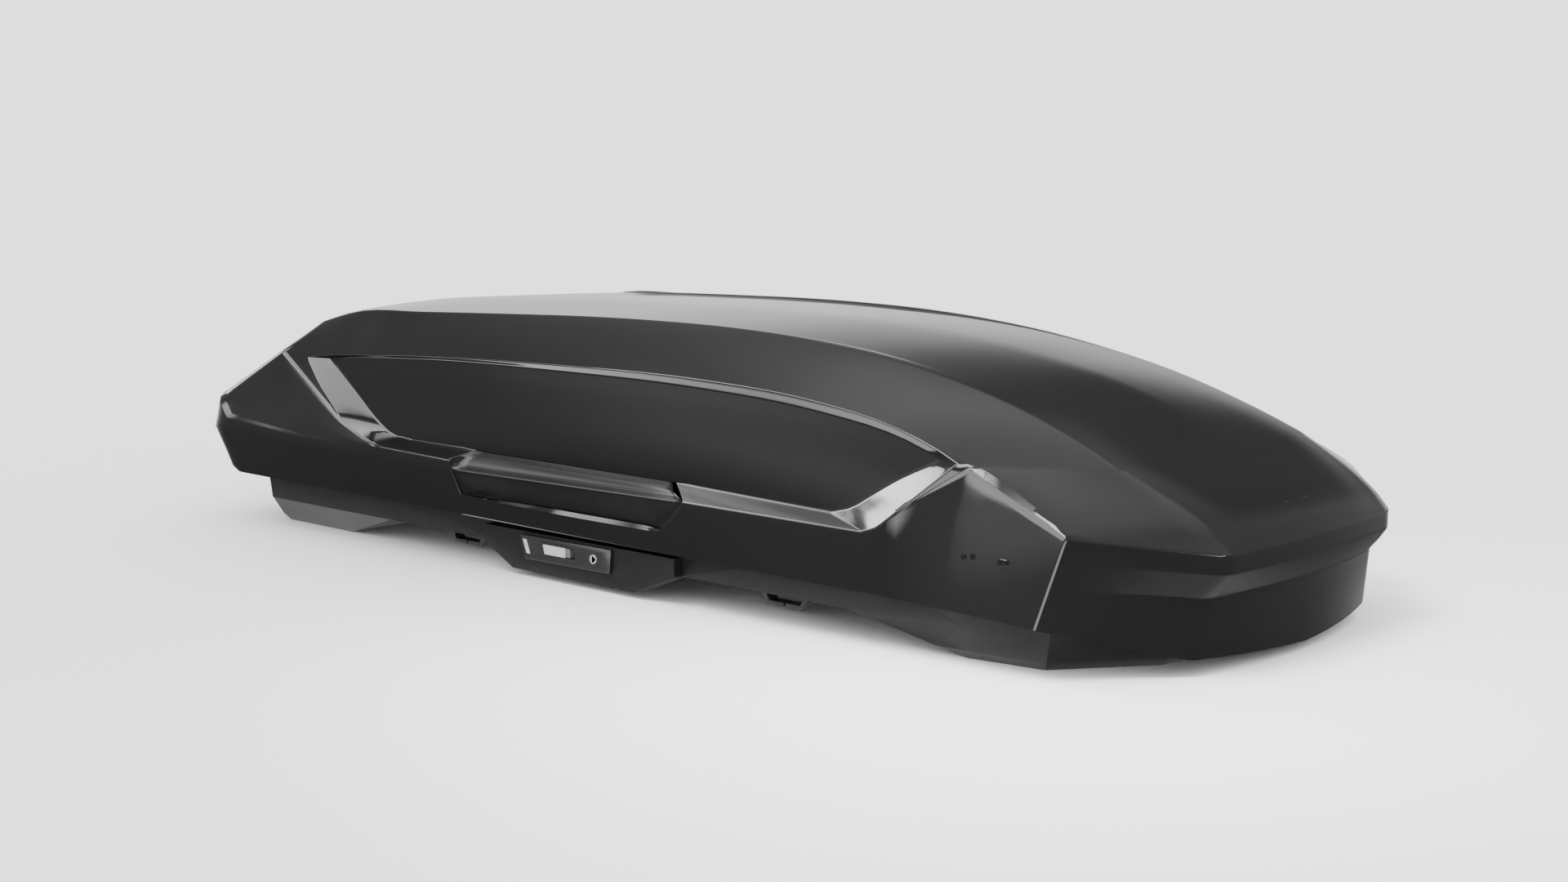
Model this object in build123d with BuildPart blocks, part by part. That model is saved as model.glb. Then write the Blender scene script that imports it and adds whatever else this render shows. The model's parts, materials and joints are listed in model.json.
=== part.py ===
"""Roof cargo box, side opening: a lid shell over a tub, with latches, lid struts and crossbar clamps.

Frame: +X towards the nose, +Z up, millimetres. The origin is the middle of the footprint, at the
height of the two feet that the tub stands on. The near side is -Y, and the lid turns about the far side.
"""
from build123d import *
import os

os.makedirs("parts", exist_ok=True)

# ---------------------------------------------------------------- driving dimensions
lid_wall = 4.5
tub_wall = 4.0
rim_z = 146
floor_z = 50
tub_half_width = 430

pin_y, pin_z = 446, 118                 # line of the striker pins, which is also the lid's hinge line
pin_radius = 4.0
running_gap = 0.05
latch_stations = (-720, -60, 600)       # x of the strikers on each side
bar_y = 416.5                           # inner face of the latch bars

bar_stations = {"rear": -450, "front": 375}     # x of the crossbar clamps
clamp_y = 345
jaw_pivot_x, jaw_pivot_z = 40, 76
jaw_width = 22
slot_width = 28
slot_reach = 150
track_x = (-615, 540)
track_half_width = 33
track_thickness = 3
track_top = floor_z + tub_wall + track_thickness
track_rivet_stations = (-608, -270, -35, 205, 533)
housing_height = 42
spindle_radius = 6
jaw_pin_radius = 3

window_x, window_z = (-122, -38), (49, 69)      # opening in the lock bezel that the slider moves in
key_x, key_z = 10, 58
key_hole_radius = 8.4

strut_stations = {"rear": -960, "front": 830}   # x of the lid struts
strut_foot = (330, 75)                  # y, z of the strut's pivot on the tub
strut_head = (-40, 340)                 # y, z of the strut's pivot on the lid

# Lid cross-sections. Each row is x, then (half-width, height) of the hem, belt, shoulder and ridge,
# then the height of the crown on the centre line.
lid_sections = [
    (-1170, (463, 102), (474, 196), (462, 245), (440, 248), 250),
    (-1050, (463, 101), (475, 210), (442, 302), (405, 322), 368),
    (-868, (463, 101), (475, 206), (425, 356), (380, 421), 450),
    (-577, (463, 100), (475, 204), (421, 380), (357, 455), 462),
    (4, (463, 97), (475, 197), (421, 393), (294, 465), 470),
    (331, (463, 94), (475, 194), (421, 391), (267, 452), 460),
    (604, (463, 93), (473, 190), (421, 364), (259, 416), 430),
    (808, (461, 88), (464, 190), (420, 299), (267, 363), 384),
    (951, (456, 81), (448, 190), (437, 237), (279, 308), 325),
    (1010, (456, 60), (445, 180), (443, 210), (279, 290), 300),
    (1105, (456, 26), (445, 100), (443, 124), (262, 222), 248),
    (1165, (456, 12), (445, 70), (443, 95), (258, 178), 186),
]

# Lid outlines seen from above. Each row is the height, then the tail edge, the tail corner, the side
# behind the nose facet, the nose corner, and the x of the bowed nose on the centre line.
lid_outlines = [
    (27, (-1060, 390), (-1010, 480), (931, 480), (1102, 274), 1142),
    (117, (-1108, 400), (-1055, 480), (941, 480), (1116, 252), 1141),
    (165, (-1152, 425), (-1105, 480), (948, 480), (1149, 258), 1160),
    (192, (-1160, 435), (-1120, 480), (963, 480), (1149, 258), 1160),
]

# Recessed side panel of the lid: corners on the panel and where its bevels would reach 60 mm further
# out. x, and the distance up the panel from its lower edge line.
panel_origin = (0, -430, 218)
panel_normal = (0, -0.9936, 0.113)
panel_corners = [(-790, 137), (-300, 161), (150, 163), (510, 144), (762, 91), (536, -15), (-519, -3)]
bevel_corners = [(-940, 175), (-330, 212), (180, 214), (560, 197), (870, 112), (610, -33), (-620, -21)]
bevel_reach = 60

handle_outline = [(-327, 215), (-361, 199), (-328, 136), (194, 137), (252, 191), (195, 211)]


def save(part, name):
    """Label a finished piece and write it as its own file."""
    part.label = name
    export_step(part, f"parts/{name}.step")


def save_pair(part, name):
    """Write a near-side piece and its mirror image for the far side."""
    save(part, f"{name}_near")
    save(mirror(part, about=Plane.XZ), f"{name}_far")


def mirrored_outline(points, nose_x, nose_arc):
    """Closed outline from half an outline: straight sides, and an arc or a line across the nose."""
    other = [(x, -y) for x, y in points]
    Polyline(*points)
    Polyline(*other)
    Line(points[0], other[0])
    if nose_arc:
        ThreePointArc(points[-1], (nose_x, 0), other[-1])
    else:
        Line(points[-1], other[-1])


def block(x, y, z):
    """Box between two limits on each axis, for use inside a part."""
    centre = [(low + high) / 2 for low, high in (x, y, z)]
    with Locations(tuple(centre)):
        Box(x[1] - x[0], y[1] - y[0], z[1] - z[0])


def cut_block(x, y, z):
    centre = [(low + high) / 2 for low, high in (x, y, z)]
    with Locations(tuple(centre)):
        Box(x[1] - x[0], y[1] - y[0], z[1] - z[0], mode=Mode.SUBTRACT)


def x_cylinder(radius, x, y, z, mode=Mode.ADD):
    """Round bar along X between two x limits."""
    with Locations(((x[0] + x[1]) / 2, y, z)):
        Cylinder(radius, x[1] - x[0], rotation=(0, 90, 0), mode=mode)


def y_cylinder(radius, x, y, z, mode=Mode.ADD):
    """Round bar along Y between two y limits."""
    with Locations((x, (y[0] + y[1]) / 2, z)):
        Cylinder(radius, y[1] - y[0], rotation=(90, 0, 0), mode=mode)


# ---------------------------------------------------------------- lid
def lid_form(inset):
    """Solid form of the lid. An inset form is smaller all round and runs out below the hem."""
    drop = 90 if inset else 0
    with BuildPart() as plan:
        for height, tail, tail_corner, side, nose_corner, nose_x in lid_outlines:
            with BuildSketch(Plane.XY.offset(height)):
                with BuildLine():
                    mirrored_outline([tail, tail_corner, side, nose_corner], nose_x, True)
                make_face()
                if inset:
                    offset(amount=-inset, kind=Kind.INTERSECTION, mode=Mode.REPLACE)
        loft(ruled=True)
        extrude(plan.faces().sort_by(Axis.Z)[0], amount=100)
        extrude(plan.faces().sort_by(Axis.Z)[-1], amount=320)
    with BuildPart() as form:
        for x, hem, belt, shoulder, ridge, crown_z in lid_sections:
            half = [
                (hem[0] - inset, hem[1] - drop),
                (belt[0] - inset, belt[1]),
                (shoulder[0] - inset, shoulder[1] - inset / 2),
                (ridge[0] - inset, ridge[1] - inset),
            ]
            other = [(-y, z) for y, z in half]
            with BuildSketch(Plane.YZ.offset(x)):
                with BuildLine():
                    Polyline(*half)
                    ThreePointArc(half[-1], (0, crown_z - inset), other[-1])
                    Polyline(*other)
                    Line(other[0], half[0])
                make_face()
        loft(ruled=True)
        add(plan.part, mode=Mode.INTERSECT)
    return form.part


def side_pocket(grow):
    """Cutter for the recessed near-side panel. A grown pocket also takes the lid's wall around it."""
    panel = Plane(origin=panel_origin, x_dir=(1, 0, 0), z_dir=panel_normal)
    with BuildPart() as pocket:
        outlines = (panel.offset(-grow), panel_corners), (panel.offset(bevel_reach), bevel_corners)
        for plane, corners in outlines:
            with BuildSketch(plane):
                with BuildLine():
                    Polyline(*corners, close=True)
                make_face()
                if grow:
                    offset(amount=grow, kind=Kind.INTERSECTION, mode=Mode.REPLACE)
        loft(ruled=True)
    return pocket.part


def handle_cutter(gap):
    """Prism through the near side of the lid, with the handle's outline plus a gap."""
    with BuildPart() as cutter:
        with BuildSketch(Plane.XZ.offset(415)):
            with BuildLine():
                Polyline(*handle_outline, close=True)
            make_face()
            if gap:
                offset(amount=gap, kind=Kind.INTERSECTION, mode=Mode.REPLACE)
        extrude(amount=70)
    return cutter.part


def make_lid_shell():
    pocket, grown_pocket, cutter = side_pocket(0), side_pocket(lid_wall), handle_cutter(0.8)
    with BuildPart() as hollow:
        add(lid_form(lid_wall))
        add(grown_pocket, mode=Mode.SUBTRACT)
        add(mirror(grown_pocket, about=Plane.XZ), mode=Mode.SUBTRACT)
    with BuildPart() as lid_shell:
        add(lid_form(0))
        add(pocket, mode=Mode.SUBTRACT)
        add(mirror(pocket, about=Plane.XZ), mode=Mode.SUBTRACT)
        add(hollow.part, mode=Mode.SUBTRACT)
        add(cutter, mode=Mode.SUBTRACT)
        add(mirror(cutter, about=Plane.XZ), mode=Mode.SUBTRACT)
        add(make_rivets(), mode=Mode.SUBTRACT)
    return lid_shell.part


def make_handle():
    """Grip panel let into the side: sloped top, crease, and a lower face that tucks in."""
    profile = [(-427, 216), (-471, 186), (-459, 134), (-453, 134), (-464, 183), (-424, 207)]
    with BuildPart() as handle:
        with BuildSketch(Plane.YZ.offset(-380)):
            with BuildLine():
                Polyline(*profile, close=True)
            make_face()
        extrude(amount=660)
        add(handle_cutter(0), mode=Mode.INTERSECT)
    return handle.part


def make_lid_rail():
    """Hollow stiffening rail inside the lid's skirt, with a block at each end for the rivets."""
    tail_x, nose_x, gauge, overcut = -1000, 895, 2, 10
    outer_y, inner_y, bottom_z, top_z = -448.5, -440, 150, 176
    block_x, block_top_z = (tail_x, -913), 196
    with BuildPart() as lid_rail:
        block((tail_x, nose_x), (outer_y, inner_y), (bottom_z, top_z))
        cut_block((tail_x - overcut, nose_x + overcut), (outer_y + gauge, inner_y - gauge),
                  (bottom_z + gauge, top_z - gauge))
        block(block_x, (-465, inner_y - gauge), (top_z + 6, block_top_z))
        block(block_x, (outer_y, inner_y - gauge), (top_z, top_z + 6))
    return lid_rail.part


def make_strikers():
    """Three ears under each lid rail, each with a pin that the tub's cradles hold."""
    ear_half, ear_radius, pin_half, rail_bottom_z = 2, 8, 14, 150
    with BuildPart() as strikers:
        for x in latch_stations:
            block((x - ear_half, x + ear_half), (-(pin_y + 5), -(pin_y - 5)), (pin_z, rail_bottom_z))
            x_cylinder(ear_radius, (x - ear_half, x + ear_half), -pin_y, pin_z)
            x_cylinder(pin_radius, (x - pin_half, x + pin_half), -pin_y, pin_z)
        mirror(about=Plane.XZ)
    return strikers.part


def make_rivets():
    """Dome-headed rivets of both rails and of the nose stiffener."""
    side_rivets = [(-990, 191, 473), (-923, 189, 473), (827, 174, 462.2), (890, 173, 457.5)]
    head_radius, seated, proud = 4.5, 1.0, 1.6
    deck_point, deck_normal, deck_spacing = (1118, 232.6), (0.719, 0, 0.695), 31
    with BuildPart() as rivets:
        for x, z, surface_y in side_rivets:
            for side in (-1, 1):
                near, far = sorted((side * (surface_y - seated), side * (surface_y + proud)))
                y_cylinder(head_radius, x, (near, far), z)
        for y in (-deck_spacing, deck_spacing):
            with Locations(Plane(origin=(deck_point[0], y, deck_point[1]), z_dir=deck_normal)):
                Cylinder(head_radius, 4)
    return rivets.part


def make_nose_stiffener():
    """Folded plate under the deck's edge, between its two rivets."""
    profile = [(1060, 259), (1103, 238), (1124, 217), (1119, 212), (1100, 231), (1058, 251)]
    half_width = 45
    with BuildPart() as nose_stiffener:
        with BuildSketch(Plane.XZ.offset(-half_width)):
            with BuildLine():
                Polyline(*profile, close=True)
            make_face()
        extrude(amount=2 * half_width)
    return nose_stiffener.part


def under_roof(x):
    """Height of the roof's underside on the centre line at x, less a bonding gap."""
    for (x0, *_, z0), (x1, *_, z1) in zip(lid_sections, lid_sections[1:]):
        if x0 <= x <= x1:
            return z0 + (z1 - z0) * (x - x0) / (x1 - x0) - lid_wall - 1


def make_strut_lid_bracket(x):
    """Plate and flange under the roof that carries a strut's upper end."""
    y, z = strut_head
    plate, end = (x + 5.5, x + 9.5), x + 34
    plate_half, flange_half, flange_gauge = 10, 16, 3
    flange = [(x, under_roof(x)) for x in (plate[0], end)]
    flange += [(x, under_roof(x) - flange_gauge) for x in (end, plate[0])]
    with BuildPart() as bracket:
        block(plate, (y - plate_half, y + plate_half), (z, min(under_roof(px) for px in plate) - 1))
        x_cylinder(plate_half, plate, y, z)
        with BuildSketch(Plane.XZ.offset(-y - flange_half)):
            with BuildLine():
                Polyline(*flange, close=True)
            make_face()
        extrude(amount=2 * flange_half)
    return bracket.part


# ---------------------------------------------------------------- tub
tub_rim = [(-1062, 370), (-1010, tub_half_width), (600, tub_half_width),
           (800, 421), (948, 402), (1072, 254)]
tub_floor = [(-1050, 368), (-1000, 424), (600, 425), (790, 412), (936, 394), (1056, 250)]
rear_foot = [
    (floor_z, [(-1050, 368), (-1000, 423), (-600, 423)], 0),
    (14, [(-1036, 356), (-990, 404), (-722, 404)], 0),
    (0, [(-1026, 348), (-982, 392), (-775, 392)], 0),
]
front_foot = [
    (floor_z, [(565, 422), (790, 412), (936, 394), (1056, 250)], 1088),
    (14, [(735, 406), (790, 402), (925, 386), (1040, 240)], 1068),
    (0, [(785, 392), (800, 390), (915, 374), (1026, 232)], 1052),
]
pod_outline = [(-290, 52), (-212, 12), (105, 12), (205, 52), (205, 84), (-290, 84)]
pod_face_y = 446


def stacked_outlines(levels, inset):
    """Solid through plan outlines at several heights, shrunk by inset and raised by the same amount."""
    with BuildPart() as stack:
        for height, points, nose_x in levels:
            with BuildSketch(Plane.XY.offset(height + inset)):
                with BuildLine():
                    mirrored_outline(points, nose_x, nose_x != 0)
                make_face()
                if inset:
                    offset(amount=-inset, kind=Kind.INTERSECTION, mode=Mode.REPLACE)
        loft(ruled=True)
    return stack.part


def tub_form(inset):
    """Solid form of the tub: open-topped body, two feet and a lock pod on each side."""
    with BuildPart() as form:
        add(stacked_outlines([(floor_z, tub_floor, 1088), (rim_z, tub_rim, 1105)], inset))
        add(stacked_outlines(rear_foot, inset))
        add(stacked_outlines(front_foot, inset))
        for side in (-1, 1):
            with BuildSketch(Plane.XZ.offset(-side * 392)):
                with BuildLine():
                    Polyline(*pod_outline, close=True)
                make_face()
                if inset:
                    offset(amount=-inset, kind=Kind.INTERSECTION, mode=Mode.REPLACE)
            extrude(amount=-side * (pod_face_y - 392 - inset))
            if inset:
                block((-286, 201), sorted((side * 396, side * 428)), (floor_z - 6, 80))
    return form.part


def clamp_slots():
    """x and y limits of the floor slots that the clamp jaws pass through."""
    for x in bar_stations.values():
        for side in (-1, 1):
            y = side * clamp_y
            yield (x - slot_reach, x + slot_reach), (y - slot_width / 2, y + slot_width / 2)


def make_tub():
    with BuildPart() as tub:
        add(tub_form(0))
        add(tub_form(tub_wall), mode=Mode.SUBTRACT)
        for x_limits, y_limits in clamp_slots():
            cut_block(x_limits, y_limits, (floor_z - 5, floor_z + 5))
        for side in (-1, 1):
            for x in latch_stations:
                cut_block((x + 3, x + 36), sorted((side * 420, side * 434)), (121, 128))
            pod_wall_y = sorted((side * 435, side * 450))
            cut_block(window_x, pod_wall_y, window_z)
            y_cylinder(key_hole_radius, key_x, pod_wall_y, key_z, mode=Mode.SUBTRACT)
    return tub.part


def make_track():
    """Aluminium track on the tub floor, slotted like the floor, with a lip along each edge."""
    y, lip_thickness, lip_height = -clamp_y, 3, 8
    bottom = floor_z + tub_wall
    y_low, y_high = y - track_half_width, y + track_half_width
    with BuildPart() as track:
        block(track_x, (y_low, y_high), (bottom, track_top))
        block(track_x, (y_low, y_low + lip_thickness), (bottom, bottom + lip_height))
        block(track_x, (y_high - lip_thickness, y_high), (bottom, bottom + lip_height))
        for x_limits, y_limits in clamp_slots():
            cut_block(x_limits, y_limits, (floor_z, track_top + 1))
        add(make_track_rivets(), mode=Mode.SUBTRACT)
    return track.part


def make_track_rivets():
    """Flush rivets of both tracks, level with the face that the clamps slide on."""
    head_radius, head_height = 4, 2
    with BuildPart() as track_rivets:
        for x in track_rivet_stations:
            for y in (-clamp_y, clamp_y):
                with Locations((x, y, track_top - 0.1 - head_height / 2)):
                    Cylinder(head_radius, head_height)
    return track_rivets.part


def make_cradles():
    """Three cradles outside each tub wall: two grooved blocks each, either side of the lid's ear."""
    half_length, block_length, bottom_z = 13, 9, 105
    wall_y, web_y, block_y = -tub_half_width, -(tub_half_width + 4), -(pin_y + 4.5)
    with BuildPart() as cradles:
        for x in latch_stations:
            block((x - half_length, x + half_length), (web_y, wall_y), (bottom_z, pin_z))
            for start in (x - half_length, x + half_length - block_length):
                block((start, start + block_length), (block_y, wall_y), (bottom_z, pin_z))
            x_cylinder(pin_radius + running_gap, (x - 20, x + 20), -pin_y, pin_z, mode=Mode.SUBTRACT)
        mirror(about=Plane.XZ)
    return cradles.part


def make_tub_rail():
    """Stiffening rail inside the tub's rim."""
    rail_x, outer_y, inner_y, bottom_z, gauge = (-960, 560), -424, -419.5, 134, 1.2
    with BuildPart() as tub_rail:
        block(rail_x, (outer_y, inner_y), (bottom_z, rim_z))
        hollow_x = rail_x[0] - 1, rail_x[1] + 1
        cut_block(hollow_x, (outer_y + gauge, inner_y - gauge), (bottom_z + 2, rim_z + 1))
    return tub_rail.part


def make_strut_foot_bracket(x):
    """Post on the tub floor with the pivot pin of a strut."""
    y, z = strut_foot
    plate, plate_half, flange_half, flange_gauge = (x + 5.5, x + 9.5), 12, 18, 3
    with BuildPart() as bracket:
        block(plate, (y - plate_half, y + plate_half), (tub_wall, z))
        x_cylinder(plate_half, plate, y, z)
        x_cylinder(pin_radius, (x - 6, plate[1]), y, z)
        block((plate[0], x + 38), (y - flange_half, y + flange_half), (tub_wall, tub_wall + flange_gauge))
    return bracket.part


# ---------------------------------------------------------------- lock and latch
def make_lock_bezel():
    """Plate on the pod's face, with the slider's window and the key hole."""
    outline, thickness = [(-184, 78), (55, 80), (50, 37), (-172, 35)], 5
    through_y = (-460, -440)
    with BuildPart() as bezel:
        with BuildSketch(Plane.XZ.offset(pod_face_y)):
            with BuildLine():
                Polyline(*outline, close=True)
            make_face()
        extrude(amount=thickness)
        cut_block(window_x, through_y, window_z)
        y_cylinder(key_hole_radius, key_x, through_y, key_z, mode=Mode.SUBTRACT)
    return bezel.part


def make_lock_slider():
    """Thumb slider with a finger groove; it stands 2 mm proud of the bezel."""
    slider_x, face_y, back_y = (-118, -62), -453, -439
    with BuildPart() as slider:
        block(slider_x, (face_y, back_y), (window_z[0] + 1, window_z[1] - 1))
        cut_block((slider_x[0] + 18, slider_x[1] - 18), (face_y - 7, face_y + 1.5), window_z)
    return slider.part


def make_latch_link():
    """Plate from the slider, through the pod, up to the latch bar."""
    link_x, link_bottom_z, gauge = (-104, -76), 54, 4
    with BuildPart() as link:
        block(link_x, (-439, -bar_y + gauge), (link_bottom_z, 60))
        block(link_x, (-bar_y, -bar_y + gauge), (link_bottom_z, 124))
    return link.part


def make_latch_bar():
    """Long flat bar inside the tub wall that joins the three hooks, lightened behind each of them."""
    bar_x, bar_z, gauge = (-760, 640), (106, 127), 4
    with BuildPart() as bar:
        block(bar_x, (-bar_y - gauge, -bar_y), bar_z)
        for x in latch_stations:
            cut_block((x - 30, x - 12), (-bar_y - gauge - 1, -bar_y + 1), (bar_z[0] + 6, bar_z[1] - 6))
    return bar.part


def make_latch_hooks():
    """Tongues on the latch bar, over the striker pins."""
    clearance, gauge = 0.4, 4
    bottom_z = pin_z + pin_radius + clearance
    with BuildPart() as hooks:
        for x in latch_stations:
            block((x + 5, x + 17), (-(pin_y + 5), -bar_y - gauge), (bottom_z, bottom_z + gauge))
    return hooks.part


def make_latch_guides():
    """Clips on the tub wall, on both sides, that hold the latch bars and let them slide."""
    guide_stations, half_length, clearance = (-560, -280, 180, 440), 8, 0.4
    with BuildPart() as guides:
        for x in guide_stations:
            block((x - half_length, x + half_length), (-bar_y - 4.4, -bar_y + 4), (102, 131))
            through = (x - half_length - 1, x + half_length + 1)
            cut_block(through, (-bar_y - 5, -bar_y + clearance), (106 - clearance, 127 + clearance))
            cut_block(through, (-bar_y, -bar_y + 5), (110, 123))
        mirror(about=Plane.XZ)
    return guides.part


def make_lock_cylinder():
    """Key cylinder with its slot; it turns in the bezel's hole."""
    face_y, back_y, slot_depth, slot_half = -453, -434, 4, 5
    with BuildPart() as cylinder:
        y_cylinder(key_hole_radius - 0.2, key_x, (face_y, back_y), key_z)
        slot_z = key_z - slot_half, key_z + slot_half
        cut_block((key_x - 1, key_x + 1), (face_y - 1, face_y + slot_depth), slot_z)
    return cylinder.part


def make_lock_cam():
    """Cam on the back of the key cylinder that blocks the latch link when it is turned."""
    cam_y, reach = (-434, -431), 18
    with BuildPart() as cam:
        y_cylinder(7, key_x, cam_y, key_z)
        block((key_x - 4, key_x + 4), cam_y, (key_z, key_z + reach))
    return cam.part


# ---------------------------------------------------------------- lid struts
def strut_axis():
    """Unit vector and length of the closed strut, as y and z parts."""
    dy, dz = strut_head[0] - strut_foot[0], strut_head[1] - strut_foot[1]
    length = (dy * dy + dz * dz) ** 0.5
    return dy / length, dz / length, length


def strut_plane(x, along):
    """Plane across the strut, the given distance from its foot, facing its head."""
    dy, dz, _ = strut_axis()
    origin = (x, strut_foot[0] + along * dy, strut_foot[1] + along * dz)
    return Plane(origin=origin, x_dir=(1, 0, 0), z_dir=(0, dy, dz))


def make_strut_tube(x):
    """Gas strut cylinder with its lower eye; the rod runs through its end cap."""
    tube_length, tube_start, bore_start = 300, 14, 22
    tube_radius, bore_radius, eye_radius, cap = 11, 9, 10, 8
    with BuildPart() as tube:
        with BuildSketch(strut_plane(x, tube_start)):
            Circle(tube_radius)
        extrude(amount=tube_length - tube_start)
        with BuildSketch(strut_plane(x, cap)):
            Rectangle(8, 14)
        extrude(amount=10)
        x_cylinder(eye_radius, (x - 4, x + 4), *strut_foot)
        with BuildSketch(strut_plane(x, bore_start)):
            Circle(bore_radius)
        extrude(amount=tube_length - cap - bore_start, mode=Mode.SUBTRACT)
        with BuildSketch(strut_plane(x, tube_length - cap - 4)):
            Circle(pin_radius + running_gap)
        extrude(amount=cap + 6, mode=Mode.SUBTRACT)
        x_cylinder(pin_radius + running_gap, (x - 8, x + 8), *strut_foot, mode=Mode.SUBTRACT)
    return tube.part


def make_strut_rod(x):
    """Piston and rod with the upper eye and its stub pin."""
    length = strut_axis()[2]
    piston_at, piston_radius, eye_radius, stub_radius = 150, 8.8, 9.5, 3.5
    with BuildPart() as rod:
        with BuildSketch(strut_plane(x, piston_at)):
            Circle(piston_radius)
        extrude(amount=10)
        with BuildSketch(strut_plane(x, piston_at)):
            Circle(pin_radius)
        extrude(amount=length - piston_at - 4)
        x_cylinder(eye_radius, (x - 5, x + 5), *strut_head)
        x_cylinder(stub_radius, (x - 8, x + 5.2), *strut_head)
    return rod.part


# ---------------------------------------------------------------- crossbar clamps
def make_clamp_housing(x, y):
    """Cover of a clamp, hollow below, standing on the track."""
    base, crown, corner_radius = (184, 54), (120, 48), 16
    hollows = ((64, 33), (74, 16))                     # half length, height above the track
    half_width, spindle_gap = 14, 0.1
    with BuildPart() as housing:
        with BuildSketch(Plane.XY.offset(track_top)):
            with Locations((x, y)):
                RectangleRounded(*base, corner_radius)
        with BuildSketch(Plane.XY.offset(track_top + housing_height)):
            with Locations((x, y)):
                RectangleRounded(*crown, corner_radius)
        loft(ruled=True)
        for half_length, height in hollows:
            hollow_z = track_top - 1, track_top + height
            cut_block((x - half_length, x + half_length), (y - half_width, y + half_width), hollow_z)
        with Locations((x, y, track_top + 36)):
            Cylinder(spindle_radius + spindle_gap, 20, mode=Mode.SUBTRACT)
    return housing.part


def make_clamp_pins(x, y):
    """Pivot pins of the two jaws, across the housing's hollow."""
    with BuildPart() as pins:
        for side in (-1, 1):
            y_cylinder(jaw_pin_radius, x + side * jaw_pivot_x, (y - 14, y + 14), jaw_pivot_z)
    return pins.part


def make_clamp_knob(x, y):
    """Round turning knob with finger hollows and its spindle."""
    top = track_top + housing_height
    knob_radius, knob_height, hollows, hollow_radius = 30, 24, 6, 9
    with BuildPart() as knob:
        with BuildSketch(Plane.XY.offset(top + 0.5)):
            with Locations((x, y)):
                Circle(knob_radius)
                with PolarLocations(knob_radius + 4, hollows):
                    Circle(hollow_radius, mode=Mode.SUBTRACT)
        extrude(amount=knob_height)
        with Locations((x, y, top - 5)):
            Cylinder(spindle_radius, 14)
    return knob.part


def make_clamp_jaw(x, y, side):
    """Curved jaw that hangs from its pivot pin, through the floor slot, and closes under the crossbar."""
    outer = [(49, 79), (52, 50), (50, 27), (38, 12), (2, 12)]
    inner = [(2, 19), (34, 19), (40, 28), (40, 50), (34, 72)]
    points = [(x + side * px, pz) for px, pz in outer + inner]
    with BuildPart() as jaw:
        with BuildSketch(Plane.XZ.offset(-y - jaw_width / 2)):
            with BuildLine():
                Polyline(*points, close=True)
            make_face()
            with Locations((x + side * jaw_pivot_x, jaw_pivot_z)):
                Circle(9)
                Circle(jaw_pin_radius + running_gap, mode=Mode.SUBTRACT)
        extrude(amount=jaw_width)
    return jaw.part


# ---------------------------------------------------------------- write every piece
save(make_lid_shell(), "lid_shell")
save_pair(make_handle(), "handle")
save_pair(make_lid_rail(), "lid_rail")
save(make_strikers(), "lid_strikers")
save(make_rivets(), "lid_rivets")
save(make_nose_stiffener(), "nose_stiffener")

save(make_tub(), "base_tub")
save_pair(make_track(), "mount_track")
save(make_track_rivets(), "track_rivets")
save(make_cradles(), "pin_cradles")
save_pair(make_tub_rail(), "tub_rail")

save_pair(make_lock_bezel(), "lock_bezel")
save_pair(make_lock_slider(), "lock_slider")
save_pair(make_lock_cylinder(), "lock_cylinder")
save_pair(make_lock_cam(), "lock_cam")
save_pair(make_latch_link(), "latch_link")
save_pair(make_latch_bar(), "latch_bar")
save_pair(make_latch_hooks(), "latch_hooks")
save(make_latch_guides(), "latch_guides")

for end, x in strut_stations.items():
    save(make_strut_lid_bracket(x), f"strut_bracket_lid_{end}")
    save(make_strut_foot_bracket(x), f"strut_bracket_tub_{end}")
    save(make_strut_tube(x), f"strut_tube_{end}")
    save(make_strut_rod(x), f"strut_rod_{end}")

for end, x in bar_stations.items():
    for side_name, side in (("near", -1), ("far", 1)):
        y = side * clamp_y
        unit = f"clamp_{end}_{side_name}"
        save(make_clamp_housing(x, y), f"{unit}_housing")
        save(make_clamp_pins(x, y), f"{unit}_pins")
        save(make_clamp_knob(x, y), f"{unit}_knob")
        save(make_clamp_jaw(x, y, -1), f"{unit}_jaw_a")
        save(make_clamp_jaw(x, y, 1), f"{unit}_jaw_b")
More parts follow.
